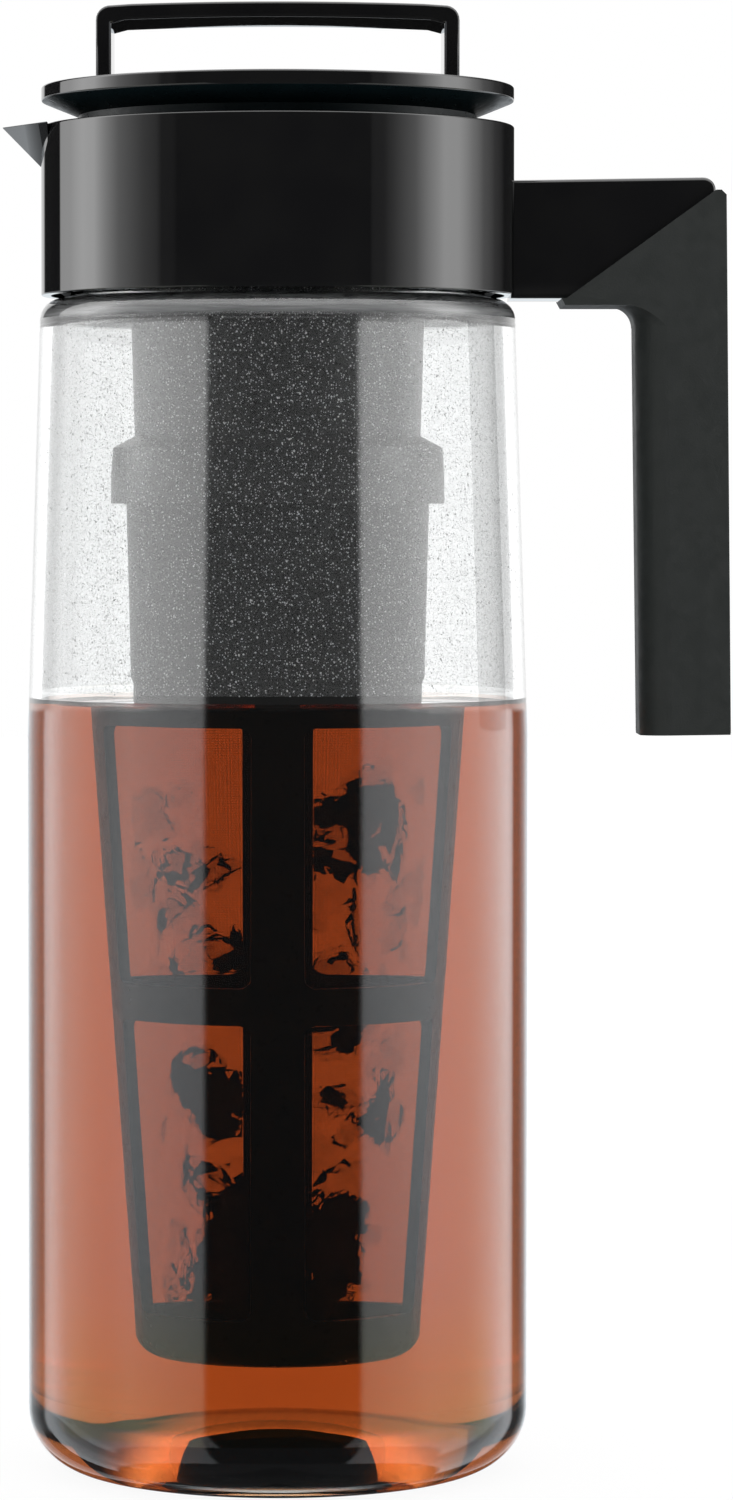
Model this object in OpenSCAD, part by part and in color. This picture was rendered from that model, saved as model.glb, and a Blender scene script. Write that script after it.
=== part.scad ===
// Iced tea maker: a clear pitcher with a pouring collar and handle, a turning stopper lid,
// and an infuser in two lengths that hangs from the lid down to the pitcher's floor.
// The pitcher's axis is Z, the table is Z = 0, the handle points to +X and the beak to -X.

/* [Pitcher] */
// Outer radius of the straight part of the body
body_r = 51.5; // [50:0.5:56]
// Height up to which the body is straight, before it narrows
straight_h = 152; // [110:1:190]
// Height at which the shoulder starts to round over
shoulder_h = 237; // [225:1:250]
// How much the radius shrinks from the straight part to the shoulder
shoulder_narrow = 2.65; // [1:0.05:3.5]
// Rounding radius of the shoulder
shoulder_round = 4.2; // [3.4:0.1:5]
// Rounding radius from the side down to the foot
foot_round = 13.1; // [9:0.1:16]
// Wall of the body
body_wall = 2.5; // [2:0.1:3]
// Thickness of the floor at its edge
floor_t = 4; // [3.4:0.1:6]
// How far the floor inside rises from its edge to its middle
floor_rise = 9.6; // [7:0.1:11]
// Width of the ring that the pitcher stands on
foot_land = 4.4; // [3:0.1:8]
// Depth of the domed hollow inside that ring
hollow_depth = 9.4; // [7:0.1:10.6]
// Outer radius of the neck
neck_r = 42.55; // [42:0.05:43.2]
// Height of the neck above the shoulder
neck_h = 20.8; // [18:0.1:24]
// How far the snap bead stands out of the neck
bead_out = 0.7; // [0.4:0.1:1]

/* [Collar] */
// Outer radius of the collar
collar_r = 48.6; // [48.2:0.1:50]
// Height of the collar
collar_h = 34.6; // [33:0.1:38]
// Air between the shoulder and the collar's lower edge
collar_gap = 0.7; // [0.4:0.1:1.5]
// Wall of the collar's outer skin
skin_t = 2; // [1.5:0.1:2.4]
// Wall of the sleeve round the neck and of the bore above it
sleeve_t = 1.8; // [1.4:0.1:2.2]
// Thickness of the ledge that lies over the neck
ledge_t = 2.4; // [1.8:0.1:3]
// How much wider the bore is than the inside of the neck
bore_step = 1.55; // [1.2:0.05:2]
// Thickness of the soft ring between the neck and the ledge
neck_seal_t = 1.6; // [1:0.1:2.4]

/* [Beak] */
// How far the beak's tip reaches past the collar
beak_reach = 8.05; // [6:0.05:12]
// Half the width of the beak at the collar's top edge
beak_half_w = 14.5; // [12:0.5:17]
// Depth of the beak at the collar, below the top edge
beak_depth = 8.2; // [7.5:0.1:8.6]
// Wall of the beak's floor and sides
beak_wall = 2; // [1.5:0.1:2.4]

/* [Handle] */
// Height of the arm's top face below the collar's top edge
arm_drop = 11.4; // [8:0.1:14]
// Height of the arm where it leaves the collar
arm_h = 24; // [20:0.1:24.4]
// Distance from the pitcher's axis to the arm's end face
arm_end = 89.3; // [85:0.1:96]
// Width of the arm across
arm_w = 20; // [18:0.5:26]
// Wall of the grip's sides and outer face
grip_wall = 1.3; // [1:0.1:2]
// How far the grip stands past the arm's end face
grip_proud = 2.1; // [1.6:0.1:3]
// Length of the grip below the arm's lower face
grip_l = 90.3; // [70:0.1:110]
// Depth of the grip from its inner to its outer face
grip_depth = 18.4; // [17:0.1:24]
// Start of the grip's slanted upper edge, measured from the pitcher's axis
seam_start = 58.9; // [57:0.1:61]
// Rounding radius of the grip's inner corners
grip_round = 6.5; // [4:0.1:8]
// Radius of the fillet between the grip and the underside of the arm
grip_fillet = 4.2; // [3:0.1:5]

/* [Lid] */
// Radius of the lid's rim
lid_r = 48.55; // [47:0.05:50]
// Thickness of the rim
lid_rim_t = 2.9; // [2.4:0.1:4]
// Air between the collar's top edge and the lid's neck joint
lid_gap = 2.1; // [1.6:0.1:3]
// Height of the cone under the lid
lid_cone_h = 3.1; // [2.6:0.1:4]
// Thickness of the lid's top plate
lid_plate_t = 2.4; // [2:0.1:2.8]
// Width of the loop over its legs
loop_w = 73.9; // [60:0.1:76]
// Depth of the strap from front to back
loop_d = 25; // [20:0.5:30]
// Thickness of the strap
loop_t = 2.8; // [2.4:0.1:3.4]
// Height of the loop above the lid
loop_h = 17; // [13:0.1:24]
// How much the loop's top bows up at its middle
loop_arch = 0.8; // [0.4:0.1:2]

/* [Stopper] */
// Gap between the stopper and the bore around it
stopper_gap = 0.7; // [0.5:0.05:0.9]
// Wall of the stopper's upper part
stopper_wall = 3; // [2.6:0.1:3.2]
// Wall of the skirt that reaches into the neck
skirt_wall = 2.6; // [2.3:0.1:2.8]
// Length of the skirt below the ledge
skirt_l = 14.5; // [12.5:0.1:18]
// Height of the pouring slots
slot_h = 5.4; // [4.5:0.1:5.6]
// Width of one pouring slot
slot_w = 2.6; // [2:0.1:3]
// Number of pouring slots on each side
slots_each = 7; // [3:2:9]
// Height of the soft rings
seal_h = 2.4; // [2:0.1:2.6]
// Wall of the infuser's socket
socket_wall = 2; // [1.6:0.1:2.2]
// Length of the infuser's socket below the stopper's top plate
socket_l = 29; // [24:0.1:32]

/* [Infuser] */
// Outer radius of the tube at the socket
tube_r = 30.9; // [29.5:0.05:31]
// Draft of the tube, in radius lost per millimetre of length
tube_draft = 0.03; // [0.01:0.005:0.035]
// Wall of the tube
tube_wall = 1.6; // [1.2:0.1:1.8]
// Outer radius of the bell at the tube's lower end
bell_r = 34.3; // [34:0.05:35.5]
// Height of the bell
bell_h = 12.2; // [11:0.1:15]
// Height of the bell's lower edge above the table
bell_z = 199.3; // [185:0.1:210]
// Outer radius of the basket just below the bell
basket_top_r = 31.15; // [30.5:0.05:31.2]
// Length of the basket's closed upper part below the bell
basket_closed_l = 37; // [30:0.5:50]
// Outer radius of the basket at the top of its windows
window_top_r = 28.75; // [27.5:0.05:29.2]
// Outer radius of the basket just above its rounded foot
basket_foot_r = 22; // [20:0.1:24]
// Rounding radius of the basket's foot
basket_round = 5; // [3:0.1:7]
// Wall of the basket
basket_wall = 1.8; // [1.5:0.1:2.2]
// Room between the basket and the middle of the pitcher's floor
basket_gap = 10.7; // [6:0.1:16]
// Height of the closed cup at the basket's foot
cup_h = 9.7; // [8:0.1:14]
// Height of the upper row of windows
upper_window_h = 52.4; // [40:0.1:60]
// Height of the band between the two rows of windows
mid_band = 7.5; // [5:0.1:12]
// Width of the four ribs
rib_w = 9.4; // [6:0.1:12]
// Rounding radius of the windows' corners
window_round = 2.2; // [1:0.1:3]
// Thickness of the mesh
mesh_t = 0.4; // [0.3:0.05:0.6]

/* [Fits] */
// Running gap between pieces that turn or slide past each other
run_gap = 0.3; // [0.2:0.05:0.35]
// Gap between pieces that are pushed together for good
fit_gap = 0.12; // [0.05:0.01:0.2]
// Rounding radius of small moulded edges
edge_round = 0.8; // [0.4:0.1:1]

/* [Hidden] */
$fn = 96;
arc_fn = 720;
// How far a cutter runs past what it cuts, and a piece into what it joins
over = 1;
// The least offset that keeps two faces from falling together
eps = 0.02;

// Pitcher
foot_r = body_r - foot_round;
hollow_r = foot_r - foot_land;
shoulder_r = body_r - shoulder_narrow;
shoulder_top = shoulder_h + shoulder_round;
neck_in_r = neck_r - body_wall;
neck_top = shoulder_top + neck_h;
bead_z = shoulder_top + neck_h / 2;
bead_sink = 0.3;
shoulder_thin = 0.6;

// Collar
collar_z = shoulder_top + collar_gap;
collar_top = collar_z + collar_h;
sleeve_r = neck_r + fit_gap;
bore_r = neck_in_r + bore_step;
ledge_z = neck_top + neck_seal_t;
ledge_top = ledge_z + ledge_t;
ledge_in_r = neck_in_r + fit_gap;
web_r = collar_r - 0.5;
sleeve_lift = 1.6;

// Beak
beak_in = collar_r - skin_t - eps;
beak_grow = (beak_reach + collar_r - beak_in) / beak_reach;
beak_tip = collar_r + beak_reach;
channel_floor = collar_top - beak_depth * beak_grow + beak_wall * sqrt(2);
channel_tip = beak_tip - beak_wall * sqrt(2);
channel_half_w = beak_half_w - beak_wall;
channel_floor_half = 3.5;
keel_half = 1.2;
channel_keel_half = 1.5;

// Handle
arm_top = collar_top - arm_drop;
arm_z = arm_top - arm_h;
arm_rise = 0.6;
arm_corner = 2.6;
arm_root = collar_r - skin_t / 2;
seam_drop = 2;
seam_end_z = arm_top - seam_drop;
grip_z = arm_z - grip_l;
grip_w = arm_w + 2 * grip_wall;
grip_under = arm_z - grip_wall - fit_gap;
grip_top_x = arm_end + grip_proud;
grip_lean = 1.2;
grip_in_x = grip_top_x - grip_depth;
grip_lean_deg = atan(grip_lean / (grip_under - grip_z));
nose_low = 1.1;
nose_back = 0.3;
grip_lip = 1;
grip_foot_round = 1.6;
core_inset = 1.5;
core_wall = 2;
core_lift = 0.5;
core_w = arm_w - 2 * core_inset;
core_round = grip_round - core_wall;

// Lid
lid_z = collar_top + lid_gap;
lid_rim_z = lid_z + lid_cone_h;
lid_top = lid_rim_z + lid_rim_t;
lid_recess = 0.4;
lid_face = lid_top - lid_recess;
rim_w = 4;
plate_z = lid_top - lid_plate_t;
stopper_r = bore_r - stopper_gap;
cap_ring_w = 2.4;
cap_ring_in = stopper_r - cap_ring_w;
loop_round = 3;
tenon_t = 1.8;
tenon_d = 16;
tenon_x = loop_w / 2 - loop_t;
barb = 1.2;
barb_h = 0.8;
barb_gap = 0.1;
barb_z = plate_z - barb_gap - barb_h;
tenon_z = lid_z + 1.5;

// Stopper
stopper_lift = 0.2;
stopper_z = ledge_top + stopper_lift;
skirt_gap = 0.85;
skirt_r = neck_in_r - skirt_gap;
skirt_z = ledge_top - skirt_l;
skirt_in = skirt_r - skirt_wall;
skirt_web = 1.2;
top_plate_t = 2.5;
top_plate_z = lid_z - top_plate_t;
spigot_wall = 2;
seal_t = 1.6;
upper_land = 1.6;
lower_land = 2.4;
upper_seal_z = lid_z - upper_land - seal_h;
lower_seal_z = skirt_z + lower_land;
upper_seal_r = bore_r - run_gap;
lower_seal_r = neck_in_r - run_gap;
slot_lift = 1.4;
slot_bar = 1.6;
slot_z = stopper_z + slot_lift;
slot_pitch = slot_w + slot_bar;
socket_in = tube_r + run_gap;
socket_z = top_plate_z - socket_l;

// Infuser
lug_n = 3;
lug_h = 3;
lug_turn = 40;
lug_deg = 12;
way_deg = 16;
entry_over = 0.1;
lug_lift = 8;
tube_head = 7;
tube_lug_z = socket_z + lug_lift;
tube_top = tube_lug_z + tube_head;
tube_lug_r = socket_in + socket_wall - run_gap;
bell_top = bell_z + bell_h;
function tube_r_at(z) = tube_r - (tube_top - z) * tube_draft;
bell_slope = 1.6;
bell_bevel_r = 0.4;
bell_bevel_h = 0.8;
bell_draft_h = 6;
bell_roof = 2.1;
bell_roof_z = bell_top - bell_roof;
spigot_r = basket_top_r;
spigot_top = bell_roof_z - run_gap;
bell_in = spigot_r + run_gap;
bell_groove_r = bell_r - 1;
basket_lug_lift = 4;
basket_lug_z = bell_z + basket_lug_lift;
basket_lug_r = bell_groove_r - run_gap;
step_z = bell_z - basket_closed_l;
step_out = 1;
step_h = 3.7;
step_ramp = 1.3;
step_r = window_top_r + step_out;
band_out = 0.55;
band_ramp = 1.4;
band_top_r = step_r + band_out;
below_step = 8.3;
window_top = step_z - below_step;
window_lean = 0.2;
basket_z = floor_t + floor_rise + basket_gap;
window_z = basket_z + cup_h;
mid_z = window_top - upper_window_h - mid_band;
basket_slope = (window_top_r - basket_foot_r) / (window_top - basket_z - basket_round);

// Ring with a square section between two radii
module ring(r_out, r_in, z, h) {
    translate([0, 0, z])
        difference() {
            cylinder(h = h, r = r_out);
            translate([0, 0, -over])
                cylinder(h = h + 2 * over, r = r_in);
        }
}

// Flat outline drawn in X and Z, pushed out to both sides of the XZ plane
module across(w) {
    rotate([90, 0, 0])
        linear_extrude(height = w, center = true)
            children();
}

// Rectangle with four round corners, given by its low corner and its size
module round_rect(x, y, w, h, r) {
    translate([x + r, y])
        square([w - 2 * r, h]);
    translate([x, y + r])
        square([w, h - 2 * r]);
    for (cx = [x + r, x + w - r], cy = [y + r, y + h - r])
        translate([cx, cy])
            circle(r = r);
}

// Half section of a body of the pitcher's kind: floor, round corner, straight side, taper,
// rounded shoulder and neck
module pitcher_half(z0, corner_r, inset, round_r, drop, top) {
    side = body_r - inset;
    shoulder = shoulder_r - inset;
    foot = side - corner_r;
    translate([0, z0])
        square([foot, straight_h - z0]);
    translate([0, z0 + corner_r])
        square([side, straight_h - z0 - corner_r]);
    translate([foot, z0 + corner_r])
        circle(r = corner_r);
    polygon([[0, straight_h - over], [side, straight_h - over], [side, straight_h],
        [shoulder, shoulder_h - drop], [0, shoulder_h - drop]]);
    translate([shoulder - round_r, shoulder_h - drop])
        circle(r = round_r);
    translate([0, shoulder_h - drop - over])
        square([shoulder - round_r, round_r + over]);
    translate([0, shoulder_h - drop])
        square([neck_r - inset, top - shoulder_h + drop]);
}

// Half section of a low dome, given by its foot's radius and height and by its rise
module dome_half(r, z, rise) {
    ball = (pow(r, 2) + pow(rise, 2)) / (2 * rise);
    translate([0, z + rise - ball])
        circle(r = ball, $fn = arc_fn);
}

module pitcher() {
    color([0.86, 0.9, 0.92, 0.35])
        rotate_extrude()
            intersection() {
                difference() {
                    union() {
                        pitcher_half(0, foot_round, 0, shoulder_round, 0, neck_top);
                        translate([neck_r - bead_sink, bead_z])
                            circle(r = bead_out + bead_sink);
                    }
                    difference() {
                        pitcher_half(floor_t, foot_round - body_wall, body_wall,
                            shoulder_round - shoulder_thin, body_wall - shoulder_thin,
                            neck_top + over);
                        dome_half(foot_r, floor_t, floor_rise);
                    }
                    dome_half(hollow_r, 0, hollow_depth);
                }
                square([body_r + over, neck_top]);
            }
}

module neck_seal() {
    color([0.16, 0.17, 0.17])
        ring(neck_r, ledge_in_r, neck_top, neck_seal_t);
}

// Pyramid from the beak's tip back to a flat root
module beak_form(tip, root, half_top, half_low, top, low) {
    polyhedron(
        points = [[-tip, 0, top], [-root, -half_top, top], [-root, half_top, top],
            [-root, half_low, low], [-root, -half_low, low]],
        faces = [[1, 2, 3, 4], [0, 2, 1], [0, 3, 2], [0, 4, 3], [0, 1, 4]]);
}

// Outline of the arm in X and Z: a bar with a round outer corner, rising slightly outwards
module arm_outline() {
    polygon([[arm_root, arm_z], [arm_end, arm_z], [arm_end, arm_top + arm_rise - arm_corner],
        [arm_end - arm_corner, arm_top + arm_rise - arm_corner],
        [arm_end - arm_corner, arm_top + arm_rise], [arm_root, arm_top]]);
    translate([arm_end - arm_corner, arm_top + arm_rise - arm_corner])
        circle(r = arm_corner);
}

// The arm with softened long edges
module arm() {
    rise_deg = atan(arm_rise / (arm_end - arm_root));
    intersection() {
        across(arm_w + 2 * over)
            arm_outline();
        translate([arm_root - over, 0, arm_top])
            rotate([0, -rise_deg, 0])
                rotate([90, 0, 90])
                    linear_extrude(height = arm_end)
                        round_rect(-arm_w / 2, -2 * arm_h, arm_w, 2 * arm_h, edge_round);
    }
}

// The upright core inside the grip, or the pocket for it when grown by a gap
module grip_core(grow) {
    top = arm_z + over;
    foot = grip_z + grip_wall + core_lift - grow;
    x0 = grip_in_x + core_wall - grow;
    w = grip_depth - core_wall - grip_proud + 2 * grow;
    translate([grip_lean, 0, foot])
        rotate([0, -grip_lean_deg, 0])
            linear_extrude(height = top - foot)
                round_rect(x0, -core_w / 2 - grow, w, core_w + 2 * grow, core_round);
}

module collar() {
    color([0.05, 0.05, 0.055]) {
        difference() {
            union() {
                ring(collar_r, collar_r - skin_t, collar_z, collar_h);
                ring(web_r, bore_r, collar_top - ledge_t, ledge_t);
                ring(bore_r + sleeve_t, bore_r, ledge_z, collar_top - ledge_z);
                ring(sleeve_r + sleeve_t, ledge_in_r, ledge_z, ledge_t);
                ring(sleeve_r + sleeve_t, sleeve_r, collar_z + sleeve_lift, ledge_z - collar_z);
                intersection() {
                    ring(web_r, bore_r, ledge_z, collar_top - ledge_z);
                    translate([-collar_r, -beak_half_w, 0])
                        cube([collar_r, 2 * beak_half_w, collar_top]);
                }
                beak_form(beak_tip, beak_in, beak_half_w * beak_grow, keel_half,
                    collar_top, collar_top - beak_depth * beak_grow);
            }
            beak_form(channel_tip, beak_in, channel_half_w, channel_keel_half,
                collar_top + eps, channel_floor);
            translate([-beak_in - eps, 0, 0])
                rotate([90, 0, 90])
                    linear_extrude(height = beak_in - ledge_in_r)
                        polygon([[-channel_half_w, collar_top + over],
                            [channel_half_w, collar_top + over], [channel_half_w, collar_top],
                            [channel_floor_half, channel_floor],
                            [-channel_floor_half, channel_floor], [-channel_half_w, collar_top]]);
            rotate_extrude()
                translate([sleeve_r - bead_sink, bead_z])
                    circle(r = bead_out + bead_sink + fit_gap);
        }
        arm();
        grip_core(0);
    }
}

// Outline of the grip in X and Z, without its fillet
module grip_outline() {
    foot_in = grip_in_x + grip_lean;
    foot_out = grip_top_x + grip_lean;
    r = grip_foot_round;
    polygon([[seam_start, arm_z], [seam_start - nose_low, arm_z],
        [seam_start - nose_back, grip_under], [grip_in_x, grip_under], [foot_in, grip_z + r],
        [foot_in + r, grip_z], [foot_out - r, grip_z], [foot_out, grip_z + r],
        [grip_top_x, seam_end_z - grip_lip], [grip_top_x - grip_lip, seam_end_z],
        [arm_end, seam_end_z]]);
    for (x = [foot_in + r + 2 * eps, foot_out - r - 2 * eps])
        translate([x, grip_z + r])
            circle(r = r);
}

// Fillet under the arm that runs on round the grip's two rounded inner corners
module grip_wrap_fillet() {
    r = grip_fillet;
    half = grip_w / 2 - grip_round;
    translate([grip_in_x, 0, grip_under])
        intersection() {
            union() {
                across(2 * half)
                    difference() {
                        translate([-r, -r])
                            square([r + over, r + eps]);
                        translate([-r, -r])
                            circle(r = r);
                    }
                for (y = [-half, half])
                    translate([grip_round, y, 0])
                        rotate_extrude()
                            difference() {
                                translate([grip_round - over, -r])
                                    square([r + over, r + eps]);
                                translate([grip_round + r, -r])
                                    circle(r = r);
                            }
            }
            translate([-r, eps - grip_w / 2, -r])
                cube([r + grip_round, grip_w - 2 * eps, r + eps]);
        }
}

module handle_grip() {
    color([0.14, 0.155, 0.15])
        difference() {
            union() {
                intersection() {
                    across(grip_w)
                        grip_outline();
                    union() {
                        translate([seam_start - nose_low - over, -grip_w, grip_under])
                            cube([arm_end, 2 * grip_w, arm_top]);
                        translate([grip_lean, 0, grip_z])
                            rotate([0, -grip_lean_deg, 0])
                                linear_extrude(height = grip_l)
                                    round_rect(grip_in_x, -grip_w / 2, 2 * grip_depth, grip_w,
                                        grip_round);
                    }
                }
                grip_wrap_fillet();
            }
            translate([0, -arm_w / 2 - fit_gap, arm_z - fit_gap])
                cube([arm_end + fit_gap, arm_w + 2 * fit_gap, 2 * arm_h]);
            grip_core(fit_gap);
        }
}

module lid_cap() {
    color([0.06, 0.07, 0.075])
        difference() {
            rotate_extrude()
                difference() {
                    polygon([[0, plate_z], [0, lid_face], [lid_r - rim_w, lid_face],
                        [lid_r - rim_w, lid_top], [lid_r, lid_top], [lid_r, lid_rim_z],
                        [stopper_r, lid_z], [cap_ring_in, lid_z], [cap_ring_in, plate_z]]);
                    translate([lid_r - edge_round, lid_top - edge_round])
                        difference() {
                            square(over);
                            circle(r = edge_round);
                        }
                }
            for (side = [-1, 1])
                translate([side * (tenon_x + tenon_t / 2), 0, lid_top])
                    cube([tenon_t + 2 * fit_gap, tenon_d + 2 * fit_gap, 3 * lid_plate_t], center = true);
        }
}

// Outline of the loop in X and Z, an arch with two straight legs
module loop_outline() {
    half = loop_w / 2;
    top = lid_face + loop_h;
    bow_r = (pow(half, 2) + pow(loop_arch, 2)) / (2 * loop_arch);
    difference() {
        intersection() {
            round_rect(-half, lid_face - loop_round, loop_w, loop_h + loop_round, loop_round);
            translate([0, top - bow_r])
                circle(r = bow_r, $fn = arc_fn);
        }
        intersection() {
            translate([-half + loop_t, lid_z])
                square([loop_w - 2 * loop_t, 2 * loop_h]);
            translate([0, top - loop_t - bow_r])
                circle(r = bow_r, $fn = arc_fn);
        }
        translate([-loop_w, lid_face - 2 * loop_h])
            square([2 * loop_w, 2 * loop_h]);
    }
}

module lid_loop() {
    color([0.06, 0.065, 0.07]) {
        intersection() {
            across(loop_d)
                loop_outline();
            translate([-loop_w, 0, 0])
                rotate([90, 0, 90])
                    linear_extrude(height = 2 * loop_w)
                        round_rect(-loop_d / 2, collar_z, loop_d, lid_face + loop_h - collar_z,
                            edge_round);
        }
        for (side = [-1, 1])
            across(tenon_d)
                polygon([[side * tenon_x, lid_top], [side * (tenon_x + tenon_t), lid_top],
                    [side * (tenon_x + tenon_t), tenon_z], [side * tenon_x, tenon_z],
                    [side * (tenon_x - barb), barb_z], [side * (tenon_x - barb), barb_z + barb_h],
                    [side * tenon_x, barb_z + barb_h]]);
    }
}

// Three L-shaped ways for bayonet lugs, cut from inside a socket
module bayonet_ways(r_in, r_out, lug_z, entry_z) {
    for (i = [0 : lug_n - 1])
        rotate([0, 0, i * 360 / lug_n]) {
            rotate([0, 0, -way_deg / 2])
                translate([0, 0, lug_z - run_gap])
                    rotate_extrude(angle = lug_turn + way_deg + over)
                        translate([r_in, 0])
                            square([r_out - r_in, lug_h + 2 * run_gap]);
            rotate([0, 0, lug_turn - way_deg / 2])
                translate([0, 0, entry_z])
                    rotate_extrude(angle = way_deg)
                        translate([r_in - entry_over, 0])
                            square([r_out - r_in + 2 * entry_over, lug_z - entry_z + run_gap]);
        }
}

// Three lugs that stand out of a tube's wall
module bayonet_lugs(r_in, r_out, z) {
    for (i = [0 : lug_n - 1])
        rotate([0, 0, i * 360 / lug_n - lug_deg / 2])
            translate([0, 0, z])
                rotate_extrude(angle = lug_deg)
                    translate([r_in, 0])
                        square([r_out - r_in, lug_h]);
}

module lid_stopper() {
    color([0.1, 0.1, 0.105])
        difference() {
            union() {
                ring(stopper_r, stopper_r - stopper_wall, stopper_z, lid_z - stopper_z);
                ring(stopper_r, skirt_in, stopper_z, skirt_web);
                ring(skirt_r, skirt_in, skirt_z, stopper_z - skirt_z + skirt_web / 2);
                translate([0, 0, top_plate_z])
                    cylinder(h = top_plate_t, r = stopper_r - over);
                ring(cap_ring_in - fit_gap, cap_ring_in - spigot_wall, lid_z - over, 2 * over);
                ring(socket_in + socket_wall, socket_in, socket_z, socket_l + over);
            }
            ring(stopper_r + over, upper_seal_r - seal_t - run_gap, upper_seal_z, seal_h);
            ring(skirt_r + over, lower_seal_r - seal_t - run_gap, lower_seal_z, seal_h);
            for (side = [0, 180], i = [0 : slots_each - 1])
                rotate([0, 0, side + (i - (slots_each - 1) / 2) * slot_pitch * 180 / (PI * stopper_r)])
                    translate([-slot_w / 2, stopper_r - stopper_wall - over, slot_z])
                        cube([slot_w, stopper_wall + 2 * over, slot_h]);
            translate([0, 0, -eps])
                bayonet_ways(socket_in - over, socket_in + socket_wall + over, tube_lug_z, socket_z);
        }
}

module lid_seal_upper() {
    color([0.2, 0.21, 0.21])
        ring(upper_seal_r, upper_seal_r - seal_t, upper_seal_z + fit_gap, seal_h - 2 * fit_gap);
}

module lid_seal_lower() {
    color([0.2, 0.21, 0.21])
        ring(lower_seal_r, lower_seal_r - seal_t, lower_seal_z + fit_gap, seal_h - 2 * fit_gap);
}

module infuser_tube() {
    color([0.12, 0.12, 0.125]) {
        difference() {
            rotate_extrude()
                polygon([[tube_r_at(tube_top) - tube_wall, tube_top], [tube_r_at(tube_top), tube_top],
                    [tube_r_at(bell_top + bell_slope), bell_top + bell_slope],
                    [bell_r - bell_bevel_r, bell_top - bell_bevel_h],
                    [bell_r, bell_top - bell_draft_h], [bell_r, bell_z], [bell_in, bell_z],
                    [bell_in, bell_roof_z], [tube_r_at(bell_top) - tube_wall, bell_roof_z]]);
            bayonet_ways(bell_in - over, bell_groove_r, basket_lug_z, bell_z - eps);
        }
        bayonet_lugs(tube_r - over, tube_lug_r, tube_lug_z);
    }
}

// Outer radius of the basket's windowed part
function basket_r_at(z) = basket_foot_r + (z - basket_z - basket_round) * basket_slope;

// Half section of the basket, drawn in by an inset from its outer face
module basket_half(inset) {
    round_r = basket_round - inset / 2;
    foot = basket_foot_r - inset - round_r;
    translate([0, basket_z + inset])
        square([foot, basket_round]);
    translate([foot, basket_z + inset + round_r])
        circle(r = round_r);
    polygon([[0, basket_z + inset + round_r], [basket_foot_r - inset, basket_z + inset + round_r],
        [window_top_r - inset, window_top],
        [window_top_r + window_lean - inset, step_z - step_h - step_ramp],
        [step_r - inset, step_z - step_h], [step_r - inset, step_z],
        [band_top_r - inset, step_z + band_ramp], [basket_top_r - inset, bell_z - over],
        [spigot_r - inset, spigot_top + inset], [0, spigot_top + inset]]);
}

// Elevation of one rib in its own plane: a bar whose corners with the bands are rounded
module rib_outline() {
    translate([-rib_w / 2, basket_z])
        square([rib_w, window_top + over - basket_z]);
    for (side = [0, 1], edge = [[window_z, 1], [mid_z, -1], [mid_z + mid_band, 1], [window_top, -1]])
        mirror([side, 0])
            translate([rib_w / 2, edge[0]])
                difference() {
                    translate([-eps, edge[1] > 0 ? -eps : -window_round])
                        square([window_round + eps, window_round + eps]);
                    translate([window_round, edge[1] * window_round])
                        circle(r = window_round);
                }
}

// Everything in the basket's shell that is not window: two crossed ribs, three closed bands
module basket_bars() {
    for (turn = [0, 90])
        rotate([0, 0, turn])
            across(3 * basket_top_r)
                rib_outline();
    for (band = [[basket_z - over, window_z], [mid_z, mid_z + mid_band],
        [window_top, spigot_top + over]])
        translate([0, 0, band[0]])
            cylinder(h = band[1] - band[0], r = 2 * basket_top_r);
}

module basket_frame() {
    color([0.06, 0.06, 0.065]) {
        intersection() {
            rotate_extrude()
                difference() {
                    basket_half(0);
                    basket_half(basket_wall);
                }
            basket_bars();
        }
        bayonet_lugs(spigot_r - over, basket_lug_r, basket_lug_z);
    }
}

// Four curved panels of mesh that fill one row of windows, halfway through the wall
module mesh_row(z0, z1) {
    mid = basket_wall / 2;
    difference() {
        intersection() {
            rotate_extrude()
                polygon([for (p = [[-1, z0], [1, z0], [1, z1], [-1, z1]])
                    [basket_r_at(p[1]) - mid + p[0] * mesh_t / 2, p[1]]]);
            translate([0, 0, z0 + fit_gap])
                cylinder(h = z1 - z0 - 2 * fit_gap, r = 2 * basket_top_r);
        }
        for (turn = [0, 90])
            rotate([0, 0, turn])
                translate([0, 0, (z0 + z1) / 2])
                    cube([rib_w + 2 * fit_gap, 3 * basket_top_r, 2 * (z1 - z0)], center = true);
        basket_bars();
    }
}

module mesh_upper() {
    color([0.3, 0.28, 0.26])
        mesh_row(mid_z + mid_band, window_top);
}

module mesh_lower() {
    color([0.3, 0.28, 0.26])
        mesh_row(window_z, mid_z);
}

pitcher();
neck_seal();
collar();
handle_grip();
lid_cap();
lid_loop();
lid_stopper();
lid_seal_upper();
lid_seal_lower();
infuser_tube();
basket_frame();
mesh_upper();
mesh_lower();
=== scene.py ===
# Iced tea maker: a clear pitcher with a black pouring collar and handle, a push-in lid with a
# finger loop, and an infuser that hangs from the lid down into the tea. The scene is in metres and
# the sizes below are in millimetres. The pitcher's axis is Z, and the handle points along +X.
import math
import random

import bmesh
import bpy
from mathutils import Euler, Matrix, Vector, noise


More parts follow.
